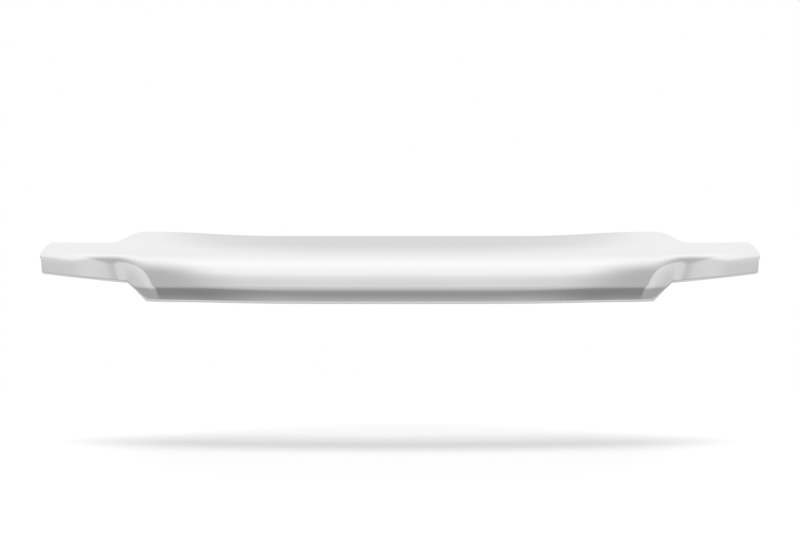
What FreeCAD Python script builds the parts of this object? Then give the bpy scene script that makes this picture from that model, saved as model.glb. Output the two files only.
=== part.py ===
"""Wrap-over hood bug deflector: one chrome-plated moulded shell that covers the front
edge of a pickup truck's hood, with a raised middle and two lower wings over the
headlights, and the foam bonding strips on its hidden side.

Millimetres. X runs across the vehicle, Y towards the windscreen and Z up. The origin is
on the outer face, at the middle of the lower edge.
"""
import FreeCAD, Part
import Sketcher
import math
import os
from FreeCAD import Vector

DIMENSIONS = [
    # Seen from above: the line of the lower edge
    ("plan_radius", 2400.0, "bow of the front line"),
    ("shoulder_start", 565.0, "half width of the raised middle"),
    ("shoulder_width", 100.0, "width of the S-bend down to the wing"),
    ("shoulder_setback", 24.0, "how far the wing lies behind the raised middle"),
    ("shoulder_lean", 20.8, "lean of the S-bend from upright, degrees"),
    ("tip_sweep", 30.0, "how far the wing wraps back at its end"),
    ("end_lean", 8.1, "lean of the wing's end from upright, degrees"),
    # Seen from the front: heights above the lower edge, and the trimmed outline
    ("middle_height", 159.5, "upper edge in the middle"),
    ("corner_height", 170.0, "upper edge at the shoulder"),
    ("corner_start", 250.0, "half width where the upper edge starts to rise"),
    ("lower_rise", 2.2, "rise of the lower edge from the middle to the shoulder"),
    ("notch_offset", 44.0, "distance across from the shoulder's start to the slanted cut's foot"),
    ("notch_width", 50.0, "width of the slanted cut"),
    ("notch_height", 47.0, "height of the slanted cut, up to the wing's lower edge"),
    ("notch_radius", 8.0, "inside radius of the slanted cut"),
    ("wing_length", 228.0, "length of the wing's lower edge, seen from the front"),
    ("wing_rise", 20.0, "rise of the wing's lower edge from the slanted cut to its end"),
    ("end_straight", 42.0, "height of the straight part of the wing's end"),
    ("foot_radius", 5.0, "radius at the foot of the wing's end"),
    ("head_radius", 36.0, "large round at the head of the wing's end"),
    ("head_clearance", 1.5, "height of the large round's top above the wing's upper edge"),
    ("trim_margin", 30.0, "sheet left beyond the outline, to be trimmed off"),
    ("trim_reach", 500.0, "reach of the trimming cut to the front and back"),
    # Section, from the lower edge up: lengths along the skin and slopes
    ("lip_run", 30.0, "lip over the hood's front edge"),
    ("crease_run", 10.0, "soft crease above the lip"),
    ("face_run", 12.0, "flat face in the middle"),
    ("top_run", 62.0, "top land in the middle"),
    ("corner_top_run", 74.0, "top land at the shoulder"),
    ("wing_face_run", 42.0, "flat face on the wing"),
    ("wing_top_run", 46.0, "top land on the wing"),
    ("lip_foot_slope", 88.0, "slope of the lip at the lower edge, degrees"),
    ("lip_slope", 83.0, "slope of the lip at the crease, degrees"),
    ("face_slope", 60.0, "slope of the face in the middle, degrees"),
    ("wing_face_slope", 74.0, "slope of the face on the wing, degrees"),
    ("top_slope", 15.0, "slope of the top land in the middle, degrees"),
    ("corner_top_slope", 21.0, "slope of the top land at the shoulder, degrees"),
    ("wing_top_slope", 22.0, "slope of the top land on the wing, degrees"),
    ("wall", 3.0, "wall of the moulding"),
    # Bonding strips on the hidden side
    ("strip_width", 12.0, "width of the foam strip"),
    ("strip_thickness", 1.1, "thickness of the foam strip"),
    ("strip_margin", 5.0, "bare wall between a strip and the edge"),
    ("strip_spacing", 9.0, "gap between two strips, end to end"),
    ("bond_clearance", 0.15, "adhesive film between wall and strip"),
]

# Sizes that follow from the ones above
DERIVED = [
    ("shoulder_end", "shoulder_start + shoulder_width", "half width where the wing starts"),
    ("notch_foot", "shoulder_start + notch_offset", "half width where the slanted cut starts"),
    ("notch_head", "notch_foot + notch_width", "half width where the slanted cut ends"),
    ("end_half_width", "notch_head + wing_length", "half width at the foot of the wing's end"),
    ("end_height", "notch_height + wing_rise", "height of the wing's lower edge at its end"),
    ("head_top", "end_height + end_straight + head_radius", "top of the large round"),
    ("wing_height", "head_top - head_clearance", "upper edge of the wing"),
]

# The skin is sampled at this many places across the middle, the shoulder and the wing, and
# up the lip, the crease, the face and the rest. Strips are sampled at these distances along
# the middle's edges, along the other edges and along a slanting outline
ACROSS_STEPS = (20, 14, 12)
UP_STEPS = (4, 5, 4, 20)
SECTION_STEPS = 24
MIDDLE_STEP = 36.0
EDGE_STEP = 18.0
OUTLINE_STEP = 6.0


def make_sheet(doc):
    """The driving dimensions and the sizes that follow from them, one row each."""
    sheet = doc.addObject("Spreadsheet::Sheet", "Dims")
    rows = DIMENSIONS + [(name, f"={formula}", note) for name, formula, note in DERIVED]
    for row, (name, content, note) in enumerate(rows, 1):
        sheet.set(f"A{row}", name)
        sheet.set(f"B{row}", str(content))
        sheet.set(f"C{row}", note)
        sheet.setAlias(f"B{row}", name)
    doc.recompute()
    return sheet


def mix(a, b, share):
    return a + (b - a) * share


def smooth(t):
    """Rises from 0 to 1 with no step in slope or curvature."""
    t = min(1.0, max(0.0, t))
    return t * t * t * (10.0 - 15.0 * t + 6.0 * t * t)


def turn(low, high, t):
    """Slope at a share t of a roll from one slope to another."""
    return mix(low, high, t * t * (3.0 - 2.0 * t))


def mean_rise(low, high):
    """Height gained per length of a roll from one slope to another."""
    places = [(k + 0.5) / SECTION_STEPS for k in range(SECTION_STEPS)]
    return sum(math.sin(turn(low, high, t)) for t in places) / SECTION_STEPS


class Skin:
    """The outer face. A point on it is given by u, its place across the vehicle at the
    level of the lower edge, and run, its distance up the section from the lower edge."""

    def __init__(self, sheet):
        for name, _, _ in DIMENSIONS + DERIVED:
            setattr(self, name, float(sheet.get(name)))
        self.end_place = self.end_half_width - math.tan(math.radians(self.end_lean)) * self.end_height

    def corner_share(self, u):
        return smooth((abs(u) - self.corner_start) / (self.shoulder_start - self.corner_start))

    def wing_share(self, u):
        return smooth((abs(u) - self.shoulder_start) / self.shoulder_width)

    def value(self, u, middle, corner, wing):
        """A size at u, from its values in the middle, at the shoulder and on the wing."""
        return mix(mix(middle, corner, self.corner_share(u)), wing, self.wing_share(u))

    def beyond(self, u):
        """How far along the wing u lies, as a share."""
        return max(0.0, (abs(u) - self.shoulder_end) / (self.end_place - self.shoulder_end))

    def sweep(self, u):
        """How far back the lower edge lies at u."""
        bow = u * u / (2.0 * self.plan_radius)
        return bow + self.shoulder_setback * self.wing_share(u) + self.tip_sweep * self.beyond(u) ** 4

    def lean(self, u):
        """Outward shift of the section per unit of height."""
        shoulder = math.tan(math.radians(self.shoulder_lean)) * smooth(abs(u) / self.shoulder_start)
        return mix(shoulder, math.tan(math.radians(self.end_lean)), smooth(self.beyond(u)))

    def zones(self, u):
        """Length and slopes at u of the lip, the crease, the face, the nose roll and the
        top land. The nose roll is as long as the height of the upper edge needs."""
        foot, lip = math.radians(self.lip_foot_slope), math.radians(self.lip_slope)
        face = math.radians(self.value(u, self.face_slope, self.face_slope, self.wing_face_slope))
        top = math.radians(self.value(u, self.top_slope, self.corner_top_slope, self.wing_top_slope))
        face_run = self.value(u, self.face_run, self.face_run, self.wing_face_run)
        top_run = self.value(u, self.top_run, self.corner_top_run, self.wing_top_run)
        height = self.value(u, self.middle_height, self.corner_height, self.wing_height)
        below = (self.lower_edge(u) + self.lip_run * mean_rise(foot, lip)
                 + self.crease_run * mean_rise(lip, face) + face_run * math.sin(face))
        nose_run = (height - below - top_run * math.sin(top)) / mean_rise(face, top)
        return ((self.lip_run, foot, lip), (self.crease_run, lip, face), (face_run, face, face),
                (nose_run, face, top), (top_run, top, top))

    def lower_edge(self, u):
        return self.lower_rise * self.corner_share(u)

    def length(self, u):
        return sum(zone[0] for zone in self.zones(u))

    def run_at(self, u, level):
        """Distance up the section at u that matches a distance up the middle section. The
        lip and the crease keep their length, and the rest stretches evenly."""
        middle, fixed = self.length(0.0), self.lip_run + self.crease_run
        share = max(0.0, level - fixed) / (middle - fixed)
        return level + (self.length(u) - middle) * share * share

    def point(self, u, run):
        """The skin's point at u, run up the section."""
        y, z = self.sweep(u), self.lower_edge(u)
        for span, low, high in self.zones(u):
            part = min(run, span)
            step = part / SECTION_STEPS
            for k in range(SECTION_STEPS):
                slope = turn(low, high, (k + 0.5) * step / span)
                y += step * math.cos(slope)
                z += step * math.sin(slope)
            run -= part
            if run <= 0.0:
                break
        return Vector(u + math.copysign(self.lean(u), u) * z, y, z)

    def inward(self, u, run):
        """Unit vector from the skin towards the hood."""
        reach = 0.5
        run = min(max(run, reach), self.length(u) - reach)
        across = self.point(u + reach, run) - self.point(u - reach, run)
        up = self.point(u, run + reach) - self.point(u, run - reach)
        return up.cross(across).normalize()

    def below(self, depth):
        """A function for the face that lies depth under the skin."""
        return lambda u, run: self.point(u, run) + self.inward(u, run) * depth

    def at_front(self, x, z):
        """u and run of the skin's point that is seen from the front at x and z."""
        u = x
        for _ in range(12):
            u = x - self.lean(u) * z
        low, high = 0.0, self.length(u)
        for _ in range(30):
            run = 0.5 * (low + high)
            if self.point(u, run).z < z:
                low = run
            else:
                high = run
        return u, run


def curve_through(points, places):
    """The smooth curve that passes each point at its own parameter."""
    curve = Part.BSplineCurve()
    curve.interpolate(Points=points, Parameters=places)
    return curve


def surface_through(points, along, across):
    """The smooth surface through a net of points: a curve along each row, and then a curve
    through the matching poles of all rows."""
    rows = [curve_through(row, across) for row in points]
    columns = [curve_through(poles, along) for poles in zip(*(row.getPoles() for row in rows))]
    row, column = rows[0], columns[0]
    surface = Part.BSplineSurface()
    surface.buildFromPolesMultsKnots(list(zip(*(line.getPoles() for line in columns))),
                                     column.getMultiplicities(), row.getMultiplicities(),
                                     column.getKnots(), row.getKnots(), False, False,
                                     column.Degree, row.Degree)
    return surface


def curved_solid(net, near, far):
    """A solid between two faces. The net is its places along, its places across, and a row
    of (u, run) for each place along; near and far give a point of each face from them."""
    along, across, grid = net
    faces = [surface_through([[place(u, run) for u, run in row] for row in grid], along, across)
             for place in (near, far)]
    u0, u1, v0, v1 = faces[0].bounds()
    sides = []
    for line, value in (("uIso", u0), ("uIso", u1), ("vIso", v0), ("vIso", v1)):
        edges = [getattr(face, line)(value).toShape() for face in faces]
        sides.append(Part.makeRuledSurface(*edges))
    shell = Part.makeShell([face.toShape() for face in faces] + sides)
    shell.sewShape()
    solid = Part.makeSolid(shell)
    if solid.Volume < 0:
        solid.reverse()
    return solid


def spread(low, high, steps):
    """Evenly spaced values from low up to but without high."""
    return [mix(low, high, k / steps) for k in range(steps)]


def stations(bounds, counts):
    """Places from the first bound to the last, evenly spaced between each two bounds."""
    spans = zip(bounds, bounds[1:], counts)
    return [place for low, high, steps in spans for place in spread(low, high, steps)] + bounds[-1:]


def blank_net(skin):
    """Sample points over the whole skin."""
    half = stations([0.0, skin.shoulder_start, skin.shoulder_end,
                     skin.end_place + skin.trim_margin], ACROSS_STEPS)
    along = [-u for u in reversed(half[1:])] + half
    crease_end = skin.lip_run + skin.crease_run
    levels = stations([0.0, skin.lip_run, crease_end, crease_end + skin.face_run,
                       skin.length(0.0)], UP_STEPS)
    return along, levels, [[(u, skin.run_at(u, level)) for level in levels] for u in along]


def bind_point(sketch, index, name, across, up):
    """Place the start of a sketch line by two named constraints."""
    for axis, kind, formula in (("x", "DistanceX", across), ("z", "DistanceY", up)):
        number = sketch.addConstraint(Sketcher.Constraint(kind, -1, 1, index, 1, 1.0))
        sketch.renameConstraint(number, f"{name}_{axis}")
        sketch.setExpression(f"Constraints.{name}_{axis}", f"({formula}) * 1 mm")


def make_end_trim(doc, skin):
    """The tool that cuts the right side's outline: slanted cut, wing's lower edge, end."""
    corners = [
        ("foot", "Dims.notch_foot - Dims.notch_width * Dims.trim_margin / Dims.notch_height",
         "-Dims.trim_margin"),
        ("notch", "Dims.notch_head", "Dims.notch_height"),
        ("end_foot", "Dims.end_half_width", "Dims.end_height"),
        ("end_head", "Dims.end_half_width"
                     " + (Dims.head_top - Dims.end_height) * tan(Dims.end_lean * 1 deg)",
         "Dims.head_top"),
        ("inner_top", "Dims.end_half_width - 2 * Dims.head_radius", "Dims.head_top"),
        ("inner_roof", "Dims.end_half_width - 2 * Dims.head_radius",
         "Dims.corner_height + Dims.trim_margin"),
        ("outer_roof", "Dims.end_half_width + 4 * Dims.trim_margin",
         "Dims.corner_height + Dims.trim_margin"),
        ("outer_foot", "Dims.end_half_width + 4 * Dims.trim_margin", "-Dims.trim_margin"),
    ]
    body = doc.addObject("PartDesign::Body", "EndTrim")
    plane = next(o for o in body.Origin.OriginFeatures if o.Role == "XZ_Plane")
    sketch = body.newObject("Sketcher::SketchObject", "FrontOutline")
    sketch.AttachmentSupport = [(plane, "")]
    sketch.MapMode = "FlatFace"
    count = len(corners)
    for k in range(count):
        start, end = (math.tau * (k + shift) / count for shift in (0, 1))
        sketch.addGeometry(Part.LineSegment(Vector(math.cos(start), math.sin(start), 0),
                                            Vector(math.cos(end), math.sin(end), 0)))
    for k in range(count):
        sketch.addConstraint(Sketcher.Constraint("Coincident", k, 2, (k + 1) % count, 1))
    for k, (name, across, up) in enumerate(corners):
        bind_point(sketch, k, name, across, up)
    pad = body.newObject("PartDesign::Pad", "TrimBlock")
    pad.Profile = sketch
    pad.Midplane = True
    pad.setExpression("Length", "Dims.trim_reach * 2 mm")
    body.Tip = pad
    doc.recompute()
    for name, radius in (("notch", "notch_radius"), ("end_foot", "foot_radius"),
                         ("end_head", "head_radius")):
        base = body.Tip
        x, z = (sketch.getDatum(f"{name}_{axis}").Value for axis in "xz")
        fillet = body.newObject("PartDesign::Fillet", f"Round_{name}")
        fillet.Base = (base, [upright_edge(base.Shape, x, z)])
        fillet.setExpression("Radius", f"Dims.{radius} * 1 mm")
        body.Tip = fillet
        doc.recompute()
    return body


def upright_edge(shape, x, z):
    """Name of the edge that runs front to back at x and z."""
    for number, edge in enumerate(shape.Edges, 1):
        box = edge.BoundBox
        if box.YLength > 1.0 and abs(box.XMin - x) + abs(box.ZMin - z) + box.XLength < 0.01:
            return f"Edge{number}"
    raise ValueError(f"no edge at {x}, {z}")


def make_shield(doc, skin):
    """The moulded shell, trimmed to its front outline."""
    blank = doc.addObject("Part::Feature", "MouldedBlank")
    blank.Shape = curved_solid(blank_net(skin), skin.point, skin.below(skin.wall))
    right = make_end_trim(doc, skin)
    left = doc.addObject("Part::Mirroring", "LeftEndTrim")
    left.Source = right
    left.Normal = Vector(1, 0, 0)
    half = doc.addObject("Part::Cut", "RightTrimmed")
    half.Base = blank
    half.Tool = right
    shield = doc.addObject("Part::Cut", "Shield")
    shield.Base = half
    shield.Tool = left
    shield.Label = "shield"
    return shield


def rows_along(low, high, step):
    """Evenly spaced places from low to high, no further apart than step."""
    return spread(low, high, max(4, math.ceil((high - low) / step))) + [high]


def strip_offsets(skin, count):
    """Distances of evenly spaced lines of a strip from the shell's edge."""
    return spread(skin.strip_margin, skin.strip_margin + skin.strip_width, count) + [
        skin.strip_margin + skin.strip_width]


def upper_strip(skin, start, end, step):
    """Net of a strip that follows the upper edge between two places across."""
    along, offsets = rows_along(start, end, step), strip_offsets(skin, 2)
    return along, offsets, [[(u, skin.length(u) - offset) for offset in offsets] for u in along]


def lower_strip(skin, start, end, step):
    """Net of a strip that follows the lower edge between two places across."""
    along, offsets = rows_along(start, end, step), strip_offsets(skin, 2)
    return along, offsets, [[(u, offset) for offset in offsets] for u in along]


def outline_strip(skin, start, end, trim):
    """Net of a strip beside a trimmed line of the front outline. start and end are (x, z)
    of the line's ends, and trim is what the strip leaves bare at each of them."""
    run_x, run_z = end[0] - start[0], end[1] - start[1]
    length = math.hypot(run_x, run_z)
    ahead_x, ahead_z = run_x / length, run_z / length
    along = rows_along(trim[0], length - trim[1], OUTLINE_STEP)
    offsets = strip_offsets(skin, 4)
    return along, offsets, [[skin.at_front(start[0] + ahead_x * t - ahead_z * offset,
                                           start[1] + ahead_z * t + ahead_x * offset)
                             for offset in offsets] for t in along]


def make_strips(doc, skin):
    """The foam strips: two that cross the middle, and five on each side."""
    half_gap = skin.strip_spacing / 2.0
    clear = skin.strip_margin + skin.strip_width + skin.strip_spacing
    foot = (skin.notch_foot, 0.0)
    notch = (skin.notch_head, skin.notch_height)
    end_foot = (skin.end_half_width, skin.end_height)
    end_slant = math.tan(math.radians(skin.end_lean))
    end_head = (skin.end_half_width + skin.end_straight * end_slant,
                skin.end_height + skin.end_straight)
    upper_start = skin.shoulder_start - half_gap
    upper_end = skin.end_place - skin.head_radius - skin.strip_margin
    lower_end = skin.notch_foot - clear
    across = {"tape_top_centre": upper_strip(skin, -upper_start, upper_start, MIDDLE_STEP),
              "tape_bottom_centre": lower_strip(skin, -lower_end, lower_end, MIDDLE_STEP)}
    right = {
        "tape_top_shoulder": upper_strip(skin, skin.shoulder_start + half_gap,
                                         skin.shoulder_end - half_gap, EDGE_STEP),
        "tape_top_wing": upper_strip(skin, skin.shoulder_end + half_gap, upper_end, EDGE_STEP),
        "tape_notch": outline_strip(skin, foot, notch, (skin.strip_margin,) * 2),
        "tape_bottom_wing": outline_strip(skin, notch, end_foot, (0.0, clear)),
        "tape_end": outline_strip(skin, end_foot, end_head, (skin.strip_margin, 0.0)),
    }
    strips = [make_strip(doc, skin, name, net) for name, net in across.items()]
    for name, net in right.items():
        strip = make_strip(doc, skin, f"{name}_right", net)
        mirror = doc.addObject("Part::Mirroring", f"{name}_left")
        mirror.Source = strip
        mirror.Normal = Vector(1, 0, 0)
        mirror.Label = f"{name}_left"
        strips += [strip, mirror]
    return strips


def make_strip(doc, skin, name, net):
    """One foam strip, bonded to the hidden face over the given sample points."""
    strip = doc.addObject("Part::Feature", name)
    seat = skin.wall + skin.bond_clearance
    strip.Shape = curved_solid(net, skin.below(seat), skin.below(seat + skin.strip_thickness))
    strip.Label = name
    return strip


def check(doc, pieces):
    """Stop if an object failed or a piece isn't one valid solid."""
    doc.recompute()
    for item in doc.Objects:
        if "Invalid" in item.State or "Error" in item.State:
            raise RuntimeError(f"{item.Label} failed: {item.State}")
    for piece in pieces:
        shape = piece.Shape
        if shape.isNull() or not shape.isValid() or len(shape.Solids) != 1:
            raise RuntimeError(f"{piece.Label} isn't one valid solid")
        box = shape.optimalBoundingBox()
        print(f"{piece.Label}: {shape.Volume:.0f} mm3,"
              f" {box.XLength:.1f} x {box.YLength:.1f} x {box.ZLength:.1f} mm")


def main():
    doc = FreeCAD.newDocument("HoodDeflector")
    skin = Skin(make_sheet(doc))
    pieces = [make_shield(doc, skin), *make_strips(doc, skin)]
    check(doc, pieces)
    os.makedirs("parts", exist_ok=True)
    for piece in pieces:
        piece.Shape.exportStep(f"parts/{piece.Label}.step")


main()
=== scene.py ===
# %% [markdown]
# A hood bug deflector, the stick-on kind: one moulded shell of ABS plastic with a bright chromium
# finish, wrapped over the front edge of a pickup's hood. It has a raised middle, an S-shaped
# shoulder on each side and two low wings over the headlights. Strips of black foam hold it on.
# The work here is almost all in two things. The first is one clean, even surface, because a mirror
# shows every fault in the mesh under it. The second is something worth reflecting.

# %% Load the measured model
import math
import bpy
import numpy as np
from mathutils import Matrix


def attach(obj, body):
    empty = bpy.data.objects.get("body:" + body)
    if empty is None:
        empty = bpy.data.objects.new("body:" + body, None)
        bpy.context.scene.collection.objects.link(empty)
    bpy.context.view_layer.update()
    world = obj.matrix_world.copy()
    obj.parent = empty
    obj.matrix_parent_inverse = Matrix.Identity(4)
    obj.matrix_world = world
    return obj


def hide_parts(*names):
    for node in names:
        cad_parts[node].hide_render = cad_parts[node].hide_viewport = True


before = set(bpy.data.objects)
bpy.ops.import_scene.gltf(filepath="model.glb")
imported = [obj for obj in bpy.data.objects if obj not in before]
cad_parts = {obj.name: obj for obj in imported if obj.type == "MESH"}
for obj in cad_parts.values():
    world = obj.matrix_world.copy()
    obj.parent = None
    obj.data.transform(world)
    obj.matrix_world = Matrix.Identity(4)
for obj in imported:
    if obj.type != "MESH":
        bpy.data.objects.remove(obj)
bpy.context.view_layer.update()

# %% [markdown]
# Sizes are in millimetres, as on a drawing, and are the same as those of the measured model. The
# shell is described by two numbers for each point: its place across the vehicle, and how far up
# the section it lies, measured along the skin from the lower edge.

# %% Sizes of the shell
MM = 0.001
PLAN_RADIUS = 2400.0
SHOULDER_START = 565.0
SHOULDER_WIDTH = 100.0
SHOULDER_SETBACK = 24.0
SHOULDER_LEAN = math.tan(math.radians(20.8))
TIP_SWEEP = 30.0
END_LEAN = math.tan(math.radians(8.1))
MIDDLE_HEIGHT, CORNER_HEIGHT = 159.5, 170.0
CORNER_START = 250.0
LOWER_RISE = 2.2
NOTCH_OFFSET, NOTCH_WIDTH, NOTCH_HEIGHT = 44.0, 50.0, 47.0
WING_LENGTH, WING_RISE, END_STRAIGHT = 228.0, 20.0, 42.0
FOOT_RADIUS, HEAD_RADIUS, HEAD_CLEARANCE = 5.0, 36.0, 1.5
LIP_RUN, CREASE_RUN = 30.0, 10.0
FACE_RUN, WING_FACE_RUN = 12.0, 42.0
TOP_RUN, CORNER_TOP_RUN, WING_TOP_RUN = 62.0, 74.0, 46.0
LIP_FOOT_SLOPE, LIP_SLOPE = 88.0, 83.0
FACE_SLOPE, WING_FACE_SLOPE = 60.0, 74.0
TOP_SLOPE, CORNER_TOP_SLOPE, WING_TOP_SLOPE = 15.0, 21.0, 22.0
WALL = 3.0

SHOULDER_END = SHOULDER_START + SHOULDER_WIDTH
NOTCH_FOOT = SHOULDER_START + NOTCH_OFFSET
NOTCH_HEAD = NOTCH_FOOT + NOTCH_WIDTH
END_HEIGHT = NOTCH_HEIGHT + WING_RISE
HEAD_TOP = END_HEIGHT + END_STRAIGHT + HEAD_RADIUS
WING_HEIGHT = HEAD_TOP - HEAD_CLEARANCE
END_PLACE = NOTCH_HEAD + WING_LENGTH - END_LEAN * END_HEIGHT


# %% Shape of the shell at one place across
def mix(a, b, share):
    return a + (b - a) * share


def smooth(t):
    """Rises from 0 to 1 with no step in slope or curvature."""
    t = np.clip(t, 0.0, 1.0)
    return t * t * t * (10.0 - 15.0 * t + 6.0 * t * t)


SECTION_STEPS = 160


def section(u):
    """The section at u: arrays of the distance up the skin, of Y and of Z, in millimetres."""
    across = abs(u)
    corner = smooth((across - CORNER_START) / (SHOULDER_START - CORNER_START))
    wing = smooth((across - SHOULDER_START) / SHOULDER_WIDTH)

    def value(middle, at_corner, on_wing):
        return mix(mix(middle, at_corner, corner), on_wing, wing)

    foot, lip = math.radians(LIP_FOOT_SLOPE), math.radians(LIP_SLOPE)
    face = math.radians(value(FACE_SLOPE, FACE_SLOPE, WING_FACE_SLOPE))
    top = math.radians(value(TOP_SLOPE, CORNER_TOP_SLOPE, WING_TOP_SLOPE))
    zones = [(LIP_RUN, foot, lip), (CREASE_RUN, lip, face),
             (value(FACE_RUN, FACE_RUN, WING_FACE_RUN), face, face),
             (1.0, face, top), (value(TOP_RUN, CORNER_TOP_RUN, WING_TOP_RUN), top, top)]
    share = (np.arange(SECTION_STEPS) + 0.5) / SECTION_STEPS
    turns = [low + (high - low) * share * share * (3.0 - 2.0 * share) for _, low, high in zones]
    rises = [span * np.sin(turn).mean() for (span, _, _), turn in zip(zones, turns)]
    height = value(MIDDLE_HEIGHT, CORNER_HEIGHT, WING_HEIGHT)
    nose_run = (height - LOWER_RISE * corner - sum(rises) + rises[3]) / rises[3]
    spans = [span if k != 3 else nose_run for k, (span, _, _) in enumerate(zones)]
    ahead = max(0.0, (across - SHOULDER_END) / (END_PLACE - SHOULDER_END))
    back = u * u / (2.0 * PLAN_RADIUS) + SHOULDER_SETBACK * wing + TIP_SWEEP * ahead ** 4
    step = np.concatenate([np.full(SECTION_STEPS, span / SECTION_STEPS) for span in spans])
    slope = np.concatenate(turns)
    run = np.concatenate([[0.0], np.cumsum(step)])
    y = back + np.concatenate([[0.0], np.cumsum(step * np.cos(slope))])
    z = LOWER_RISE * corner + np.concatenate([[0.0], np.cumsum(step * np.sin(slope))])
    return run, y, z


def lean(u):
    """Outward shift of the section at u per unit of height."""
    ahead = max(0.0, (abs(u) - SHOULDER_END) / (END_PLACE - SHOULDER_END))
    return mix(SHOULDER_LEAN * smooth(abs(u) / SHOULDER_START), END_LEAN, smooth(ahead))


def skin_points(u, runs):
    """Points of the outer skin at u, at the given distances up the section."""
    run, y, z = section(u)
    heights = np.interp(runs, run, z)
    across = u + math.copysign(lean(u), u) * heights
    return np.stack([across, np.interp(runs, run, y), heights], axis=1)


def inward_normals(u, runs):
    """Unit vectors at the same points, from the skin towards the hood."""
    reach = 1.0
    runs = np.clip(runs, reach, section(u)[0][-1] - reach)
    along = skin_points(u + reach, runs) - skin_points(u - reach, runs)
    up = skin_points(u, runs + reach) - skin_points(u, runs - reach)
    inward = np.cross(up, along)
    return inward / np.linalg.norm(inward, axis=1, keepdims=True)


# %% [markdown]
# Seen from the front, the shell's outline steps up at a slanted cut beside the raised middle,
# runs along each wing's lower edge and turns round the wing's end. The mesh follows that outline:
# each column of it starts on the lower outline and ends on the upper one. So every edge of the
# sheet is a clean line of the mesh, and nothing has to be cut afterwards.

# %% Outline seen from the front
SLANT = NOTCH_HEIGHT / NOTCH_WIDTH
WING_SLANT = WING_RISE / WING_LENGTH
NOTCH_BLEND = 2.0
UNCAPPED = 1e6


def soft_min(a, b, blend):
    """The smaller of two heights, with the corner between them rounded."""
    near = max(blend - abs(a - b), 0.0) / blend
    return min(a, b) - near * near * blend / 4.0


def lower_height(u):
    """Height of the lower outline in the column at u, or a negative one where it is the lip."""
    across, tilt = abs(u), lean(u)
    cut = SLANT * (across - NOTCH_FOOT) / (1.0 - SLANT * tilt)
    edge = (NOTCH_HEIGHT + WING_SLANT * (across - NOTCH_HEAD)) / (1.0 - WING_SLANT * tilt)
    height = soft_min(cut, edge, NOTCH_BLEND)
    inside = min(max(FOOT_RADIUS - (END_PLACE - across), 0.0), FOOT_RADIUS)
    return height + FOOT_RADIUS - math.sqrt(FOOT_RADIUS ** 2 - inside ** 2)


HEAD_CENTRE_Z = HEAD_TOP - HEAD_RADIUS
HEAD_CENTRE_X = END_PLACE + END_LEAN * HEAD_CENTRE_Z - HEAD_RADIUS * math.hypot(1.0, END_LEAN)


def upper_height(u):
    """Height of the upper outline in the column at u, or UNCAPPED where it is the skin's own
    upper edge. The large round at the wing's end is a circle, and a column is a straight line."""
    tilt, across = lean(u), abs(u) - HEAD_CENTRE_X
    if across + tilt * (HEAD_CENTRE_Z + HEAD_RADIUS) < 0.0:
        return UNCAPPED
    half = (HEAD_CENTRE_Z - tilt * across) / (1.0 + tilt * tilt)
    square = half * half - (across ** 2 + HEAD_CENTRE_Z ** 2 - HEAD_RADIUS ** 2) / (1.0 + tilt * tilt)
    return half + math.sqrt(max(square, 0.0))


# %% [markdown]
# The moulder turns the lower and outer edges back towards the hood with a small round, so that no
# raw edge faces the road. The skin near these edges is therefore rolled back, and the mesh is
# closer there. It is also closer in the shoulders, where the shell turns most.

# %% Columns and rows of the mesh
ROLL_RADIUS = 6.0
ROLL_TURN = math.radians(75.0)
ROLL_STEPS = 9
ROLL_FADE_START, ROLL_FADE_LENGTH = 100.0, 25.0
UPPER_ROWS = 96
BRIDGE_COLUMNS = 8
COLUMN_STRETCHES = ((0.0, 530.0, 56), (530.0, 690.0, 64), (690.0, 862.0, 40))


def roll_offsets():
    """Distances from the edge at which the roll's own lines lie."""
    turns = [ROLL_TURN * (1.0 - k / ROLL_STEPS) for k in range(ROLL_STEPS + 1)]
    return [ROLL_RADIUS * (math.sin(ROLL_TURN) - math.sin(turn)) for turn in turns]


half = [mix(low, high, k / count) for low, high, count in COLUMN_STRETCHES for k in range(count)]
tail = [END_PLACE - offset for offset in reversed(roll_offsets())]
bridge = [mix(COLUMN_STRETCHES[-1][1], tail[0], k / BRIDGE_COLUMNS) for k in range(BRIDGE_COLUMNS)]
half += bridge + tail
COLUMNS = [-u for u in reversed(half[1:])] + half
ROWS = ROLL_STEPS + 1 + UPPER_ROWS
print("mesh:", len(COLUMNS), "columns,", ROWS, "rows")


# %% Points of the outer skin
def column_runs(u):
    """Distances up the section of one column's points, from the lower outline to the upper."""
    run, _, z = section(u)
    low = np.interp(lower_height(u), z, run)
    high = np.interp(upper_height(u), z, run)
    runs = [low + offset for offset in roll_offsets()]
    start = runs[-1]
    return np.array(runs + [mix(start, high, (k + 1) / UPPER_ROWS) for k in range(UPPER_ROWS)])


skin = np.array([skin_points(u, column_runs(u)) for u in COLUMNS])
inward = np.array([inward_normals(u, column_runs(u)) for u in COLUMNS])
print("skin spans, mm:", skin.reshape(-1, 3).min(0).round(1), skin.reshape(-1, 3).max(0).round(1))


def distance_to_edge(points, edge):
    """Distance seen from the front from each point to a line of edge points."""
    starts, ends = edge[:-1], edge[1:]
    span = ends - starts
    nearest = np.full(len(points), np.inf)
    for start, line in zip(starts, span):
        share = np.clip(((points - start) @ line) / (line @ line), 0.0, 1.0)
        gap = np.linalg.norm(points - start - share[:, None] * line, axis=1)
        nearest = np.minimum(nearest, gap)
    return nearest


front = skin[:, :, [0, 2]]
edge = np.concatenate([front[0, ::-1], front[1:-1, 0], front[-1]])
gap = distance_to_edge(front.reshape(-1, 2), edge).reshape(front.shape[:2])
sine = np.clip(math.sin(ROLL_TURN) - gap / ROLL_RADIUS, 0.0, 1.0)
fade = 1.0 - smooth((skin[:, :, 2] - ROLL_FADE_START) / ROLL_FADE_LENGTH)
depth = ROLL_RADIUS * (1.0 - np.sqrt(1.0 - sine ** 2)) * fade
skin = skin + inward * depth[:, :, None]

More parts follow.
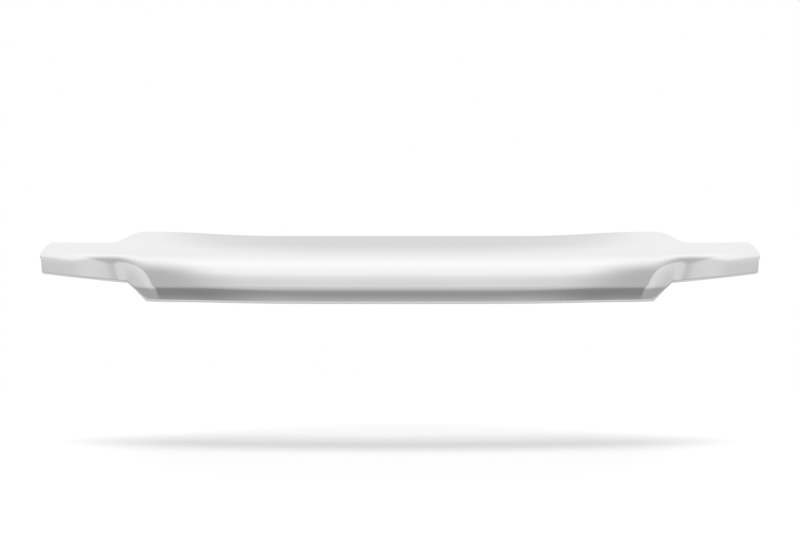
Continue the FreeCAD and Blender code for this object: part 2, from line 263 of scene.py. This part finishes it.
# %% [markdown]
# A flat grid is the natural start for a sheet that was drawn over a mould: it has the right
# columns and rows, and only has to be bent. Its points are moved to the skin's, then Solidify
# gives the wall, and Bevel takes the sharpness off the cut edges.

# %% Bend a flat grid into the shell
EDGE_ROUND = 0.8
EDGE_ANGLE, SMOOTH_ANGLE = math.radians(50.0), math.radians(40.0)

bpy.ops.object.select_all(action="DESELECT")
bpy.ops.mesh.primitive_grid_add(x_subdivisions=len(COLUMNS) - 1, y_subdivisions=ROWS - 1, size=1.0)
shell = bpy.context.object
shell.name = "chrome_shell"
grid = np.array([v.co for v in shell.data.vertices])
column = np.rint((grid[:, 0] + 0.5) * (len(COLUMNS) - 1)).astype(int)
row = np.rint((grid[:, 1] + 0.5) * (ROWS - 1)).astype(int)
shell.data.vertices.foreach_set("co", (skin[column, row] * MM).ravel())
shell.data.update()
bpy.ops.object.transform_apply(location=True, rotation=True, scale=True)

wall = shell.modifiers.new("wall", "SOLIDIFY")
wall.thickness = WALL * MM
wall.offset = -1.0
wall.use_even_offset = True
wall.use_quality_normals = True
wall.material_offset = 1
bevel = shell.modifiers.new("edge_round", "BEVEL")
bevel.width = EDGE_ROUND * MM
bevel.segments = 3
bevel.limit_method = "ANGLE"
bevel.angle_limit = EDGE_ANGLE
for modifier in list(shell.modifiers):
    bpy.ops.object.modifier_apply(modifier=modifier.name)
bpy.ops.object.shade_smooth_by_angle(angle=SMOOTH_ANGLE)
print("shell:", len(shell.data.polygons), "faces")


# %% [markdown]
# The three surfaces are bright plating on the road side, the duller plating on the moulding's back,
# which no buffing wheel reaches, and black closed-cell foam. Colours are written as hex codes and
# turned into the linear values that the shader wants.

# %% Helpers for materials
def linear(code):
    """A colour written as an sRGB hex code, as the linear values that the shader wants."""
    channels = [int(code[k:k + 2], 16) / 255.0 for k in (1, 3, 5)]
    return tuple(c / 12.92 if c <= 0.04045 else ((c + 0.055) / 1.055) ** 2.4 for c in channels) + (1.0,)


def add_node(tree, kind, settings=None, links=None):
    """Add a node, set its properties and input values, and link its inputs from sockets."""
    node = tree.nodes.new(kind)
    for name, value in (settings or {}).items():
        if isinstance(name, str) and hasattr(node, name):
            setattr(node, name, value)
        else:
            node.inputs[name].default_value = value
    for name, socket in (links or {}).items():
        tree.links.new(socket, node.inputs[name])
    return node


def new_material(name):
    material = bpy.data.materials.new(name)
    material.use_nodes = True
    tree = material.node_tree
    return material, tree, tree.nodes["Principled BSDF"]


# %% [markdown]
# Chromium is a neutral, very bright metal. On a large plastic moulding it isn't perfectly even: the
# plating has a faint haze in patches, and the moulding under it is very slightly wavy, which makes
# long reflections a little uneven. The wave is a bump far too shallow to measure.

# %% Bright chromium plating
chrome, tree, shader = new_material("bright_chromium_plating")
shader.inputs["Base Color"].default_value = linear("#E8E8E8")
shader.inputs["Metallic"].default_value = 1.0
place = add_node(tree, "ShaderNodeTexCoord")
haze = add_node(tree, "ShaderNodeTexNoise", {"Scale": 9.0, "Detail": 4.0},
                {"Vector": place.outputs["Object"]})
rough = add_node(tree, "ShaderNodeMapRange",
                 {"From Min": 0.3, "From Max": 0.7, "To Min": 0.04, "To Max": 0.09},
                 {"Value": haze.outputs["Fac"]})
tree.links.new(rough.outputs["Result"], shader.inputs["Roughness"])
wave = add_node(tree, "ShaderNodeTexNoise", {"Scale": 5.0, "Detail": 1.0},
                {"Vector": place.outputs["Object"]})
bump = add_node(tree, "ShaderNodeBump", {"Strength": 0.25, "Distance": 0.0004},
                {"Height": wave.outputs["Fac"]})
tree.links.new(bump.outputs["Normal"], shader.inputs["Normal"])

# %% [markdown]
# The hidden side carries the same plating over an unpolished mould face, so it is satin, with a
# fine grain.

# %% Satin back of the plating
satin, tree, shader = new_material("satin_plated_back")
shader.inputs["Base Color"].default_value = linear("#A9AAAB")
shader.inputs["Metallic"].default_value = 1.0
shader.inputs["Roughness"].default_value = 0.42
place = add_node(tree, "ShaderNodeTexCoord")
grain = add_node(tree, "ShaderNodeTexNoise", {"Scale": 900.0, "Detail": 2.0},
                 {"Vector": place.outputs["Object"]})
bump = add_node(tree, "ShaderNodeBump", {"Strength": 0.3, "Distance": 0.0001},
                {"Height": grain.outputs["Fac"]})
tree.links.new(bump.outputs["Normal"], shader.inputs["Normal"])

# %% [markdown]
# Foam tape is cut from a sheet, so its cells are open on the faces and show as fine pores. The black is
# painted a little darker in each pore, the hollow that the bump makes: a painted shade in the pores.

# %% Acrylic foam
foam, tree, shader = new_material("black_acrylic_foam")
shader.inputs["Roughness"].default_value = 0.88
shader.inputs["Specular IOR Level"].default_value = 0.3
place = add_node(tree, "ShaderNodeTexCoord")
pores = add_node(tree, "ShaderNodeTexVoronoi", {"Scale": 1400.0},
                 {"Vector": place.outputs["Object"]})
# Painted shade: the black is darker in the pores' hollows and lighter on the cell rims.
painted_pore_shade = add_node(tree, "ShaderNodeMix", {"data_type": "RGBA"}, {"Factor": pores.outputs["Distance"]})
painted_pore_shade.inputs[6].default_value = linear("#141415")
painted_pore_shade.inputs[7].default_value = linear("#29292A")
tree.links.new(painted_pore_shade.outputs[2], shader.inputs["Base Color"])
bump = add_node(tree, "ShaderNodeBump", {"Strength": 0.5, "Distance": 0.0002},
                {"Height": pores.outputs["Distance"]})
tree.links.new(bump.outputs["Normal"], shader.inputs["Normal"])

# %% [markdown]
# The dressed shell takes the measured shell's place and rides on the same body. The strips are the
# measured solids themselves, with the foam put on them.

# %% Dress the shell and the strips
shell.data.materials.append(chrome)
shell.data.materials.append(satin)
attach(shell, "root")
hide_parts("shield")
for name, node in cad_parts.items():
    if name.startswith("tape"):
        node.data.materials.clear()
        node.data.materials.append(foam)

# %% [markdown]
# The floor is a sheet of white paper below the shell. It is lit as plain paper. It also glows a
# little for the camera, more towards its rim, where the lamp is weaker, and hardly for mirrors. So
# it runs into the white background, and the shadow on it stays.

# %% Paper floor
FLOOR_DROP = 0.35
FLOOR_SIZE = 3.4
MIRROR_GLOW = 0.05
bpy.ops.object.select_all(action="DESELECT")
bpy.ops.mesh.primitive_plane_add(size=FLOOR_SIZE, location=(0.0, 0.0, -FLOOR_DROP))
floor = bpy.context.object
floor.name = "paper_floor"
paper, tree, shader = new_material("white_paper")
shader.inputs["Base Color"].default_value = linear("#F2F2F2")
shader.inputs["Roughness"].default_value = 0.8
rays = add_node(tree, "ShaderNodeLightPath")
place = add_node(tree, "ShaderNodeTexCoord")
distance = add_node(tree, "ShaderNodeVectorMath", {"operation": "LENGTH"},
                    {0: place.outputs["Object"]})
fade = add_node(tree, "ShaderNodeMapRange",
                {"interpolation_type": "SMOOTHSTEP", "From Min": 0.5, "From Max": 1.5,
                 "To Min": 0.25, "To Max": 0.8}, {"Value": distance.outputs["Value"]})
to_camera = add_node(tree, "ShaderNodeMath", {"operation": "MULTIPLY"},
                     {0: rays.outputs["Is Camera Ray"], 1: fade.outputs["Result"]})
to_mirror = add_node(tree, "ShaderNodeMath", {"operation": "MULTIPLY_ADD", 1: MIRROR_GLOW},
                     {0: rays.outputs["Is Glossy Ray"], 2: to_camera.outputs[0]})
glow = add_node(tree, "ShaderNodeEmission", {"Color": linear("#FFFFFF")},
                {"Strength": to_mirror.outputs[0]})
sheet = add_node(tree, "ShaderNodeAddShader", links={0: shader.outputs[0], 1: glow.outputs[0]})
tree.links.new(sheet.outputs[0], tree.nodes["Material Output"].inputs["Surface"])
floor.data.materials.append(paper)

# %% [markdown]
# What a mirror shows is the studio, so the studio is drawn with care. Going up from the floor in
# front of the shell and over the top to the back, it is a grey wall with a dark foot, a bright
# ceiling of cloth, and a paler wall behind. Towards the sides the floor is brighter and the wall is
# darker at first and then pale. Each ramp gives the tones of one such strip of the studio by its
# angle above the horizon, which runs over the top to 180 degrees behind the shell. At the far sides
# there is no front or back, so the ramp there goes by the plain height above the horizon. The greys
# are round values, chosen so that the bands in the shell come out as they are in the photograph.

# %% Tones of the studio by angle, in degrees
LOWEST, HIGHEST = -30.0, 180.0
FRONT = ((-30, "#D8D8D8"), (0, "#B8B8B8"), (10, "#909090"), (28, "#B8B8B8"), (56, "#C8C8C8"),
         (64, "#F0F0F0"), (82, "#FCFCFC"), (120, "#E4E4E4"), (150, "#D4D4D4"))
CORNER = ((-30, "#CCCCCC"), (6, "#808080"), (20, "#888888"), (50, "#B0B0B0"), (66, "#B4B4B4"),
          (94, "#F8F8F8"), (180, "#ECECEC"))
SIDE = ((-30, "#F4F4F4"), (-9, "#A4A4A4"), (6, "#A4A4A4"), (32, "#D4D4D4"), (60, "#D4D4D4"),
        (85, "#F4F4F4"), (180, "#E8E8E8"))
FAR_SIDE = ((-21, "#E8E8E8"), (-15, "#A0A0A0"), (-8, "#A0A0A0"), (6, "#C4C4C4"), (30, "#D4D4D4"),
            (90, "#F0F0F0"))

# %% [markdown]
# A direction's share across is its X part. The corners begin at about 0.3 of it, the sides at 0.6
# and the far sides at 0.8. Behind the shell the pale side begins much nearer to the middle. Camera
# rays see plain white, and so the picture's background is white. All other rays get an even, soft
# light of a plain level.

# %% World
CORNER_SHARE, SIDE_SHARE, FAR_SHARE = (0.28, 0.46), (0.57, 0.65), (0.76, 0.9)
BEHIND_SHARE, BEHIND_ANGLE = (0.05, 0.2), (85.0, 125.0)
SIDE_LIFT = 20.0
MIRROR_LEVEL = 1.24
PLAIN_LEVEL = 0.5

world = bpy.data.worlds.new("studio")
bpy.context.scene.world = world
world.use_nodes = True
tree = world.node_tree
tree.nodes.clear()


def math_node(operation, first, second=None):
    """A math node of one or two inputs, each a number or a socket. Returns its output."""
    node = add_node(tree, "ShaderNodeMath", {"operation": operation})
    for socket, value in zip(node.inputs, (first, second)):
        if isinstance(value, bpy.types.NodeSocket):
            tree.links.new(value, socket)
        elif value is not None:
            socket.default_value = value
    return node.outputs[0]


def soft_step(value, low, high):
    """0 below low, 1 above high and smooth between."""
    node = add_node(tree, "ShaderNodeMapRange",
                    {"interpolation_type": "SMOOTHSTEP", "From Min": low, "From Max": high},
                    {"Value": value})
    return node.outputs["Result"]


def tone_ramp(angle, tones):
    """The tone at an angle in degrees."""
    share = math_node("DIVIDE", math_node("SUBTRACT", angle, LOWEST), HIGHEST - LOWEST)
    ramp = add_node(tree, "ShaderNodeValToRGB", links={"Fac": share})
    for k, (degrees, code) in enumerate(tones):
        place = (degrees - LOWEST) / (HIGHEST - LOWEST)
        stop = ramp.color_ramp.elements[k] if k < 2 else ramp.color_ramp.elements.new(place)
        stop.position = place
        stop.color = linear(code)
    return ramp.outputs["Color"]


def blend(share, first, second):
    """The second colour over the first, by a share."""
    node = add_node(tree, "ShaderNodeMix", {"data_type": "RGBA"}, {0: share, 6: first, 7: second})
    return node.outputs[2]


direction = add_node(tree, "ShaderNodeTexCoord")
axes = add_node(tree, "ShaderNodeSeparateXYZ", links={"Vector": direction.outputs["Generated"]})
aside = math_node("ABSOLUTE", axes.outputs["X"])
turn = math_node("ARCTAN2", axes.outputs["Z"], math_node("MULTIPLY", axes.outputs["Y"], -1.0))
degrees = math_node("DEGREES", turn)
lift = math_node("MULTIPLY", math_node("MULTIPLY", aside, aside), SIDE_LIFT)
lifted = math_node("ADD", degrees, lift)
height = math_node("DEGREES", math_node("ARCSINE", axes.outputs["Z"]))
front_corner = blend(soft_step(aside, *CORNER_SHARE), tone_ramp(lifted, FRONT),
                     tone_ramp(lifted, CORNER))
behind = math_node("MULTIPLY", soft_step(aside, *BEHIND_SHARE), soft_step(degrees, *BEHIND_ANGLE))
side_share = math_node("MAXIMUM", soft_step(aside, *SIDE_SHARE), behind)
sides = blend(soft_step(aside, *FAR_SHARE), tone_ramp(lifted, SIDE), tone_ramp(height, FAR_SIDE))
studio = blend(side_share, front_corner, sides)

rays = add_node(tree, "ShaderNodeLightPath")
seen = add_node(tree, "ShaderNodeBackground", {"Color": linear("#FFFFFF"), "Strength": 1.0})
mirrored = add_node(tree, "ShaderNodeBackground", {"Strength": MIRROR_LEVEL}, {"Color": studio})
plain = add_node(tree, "ShaderNodeBackground", {"Color": linear("#FFFFFF"), "Strength": PLAIN_LEVEL})
lit = add_node(tree, "ShaderNodeMixShader",
               links={0: rays.outputs["Is Glossy Ray"], 1: plain.outputs[0], 2: mirrored.outputs[0]})
shown = add_node(tree, "ShaderNodeMixShader",
                 links={0: rays.outputs["Is Camera Ray"], 1: lit.outputs[0], 2: seen.outputs[0]})
add_node(tree, "ShaderNodeOutputWorld", links={"Surface": shown.outputs[0]})

# %% [markdown]
# One large cloth lamp overhead gives the shadow on the paper. It stands where the studio's bright
# ceiling is, and isn't itself mirrored, so that no frame shows in the plating.

# %% Overhead lamp
LAMP_PLACE = (0.0, -0.3, 2.4)
lamp_data = bpy.data.lights.new("overhead_cloth", "AREA")
lamp_data.shape = "RECTANGLE"
lamp_data.size = 3.0
lamp_data.size_y = 1.2
lamp_data.energy = 30.0
lamp = bpy.data.objects.new("overhead_cloth", lamp_data)
bpy.context.scene.collection.objects.link(lamp)
lamp.location = LAMP_PLACE
lamp.visible_glossy = False

# %% [markdown]
# The photograph was taken from straight in front, a little above the shell and nearly five metres
# away. The camera stands there, with a longer lens, so that the part fills the frame.

# %% Camera
EYE = (0.0, -4.713, 0.181)
AIM = (0.0, 0.12, 0.085)
camera_data = bpy.data.cameras.new("camera")
camera_data.lens = 90.0
camera_data.sensor_width = 36.0
camera = bpy.data.objects.new("camera", camera_data)
bpy.context.scene.collection.objects.link(camera)
camera.location = EYE
reach = np.array(AIM) - np.array(EYE)
camera.rotation_euler = (math.atan2(math.hypot(reach[0], reach[1]), -reach[2]), 0.0,
                         -math.atan2(reach[0], reach[1]))
bpy.context.scene.camera = camera
bpy.context.scene.view_settings.view_transform = "Standard"
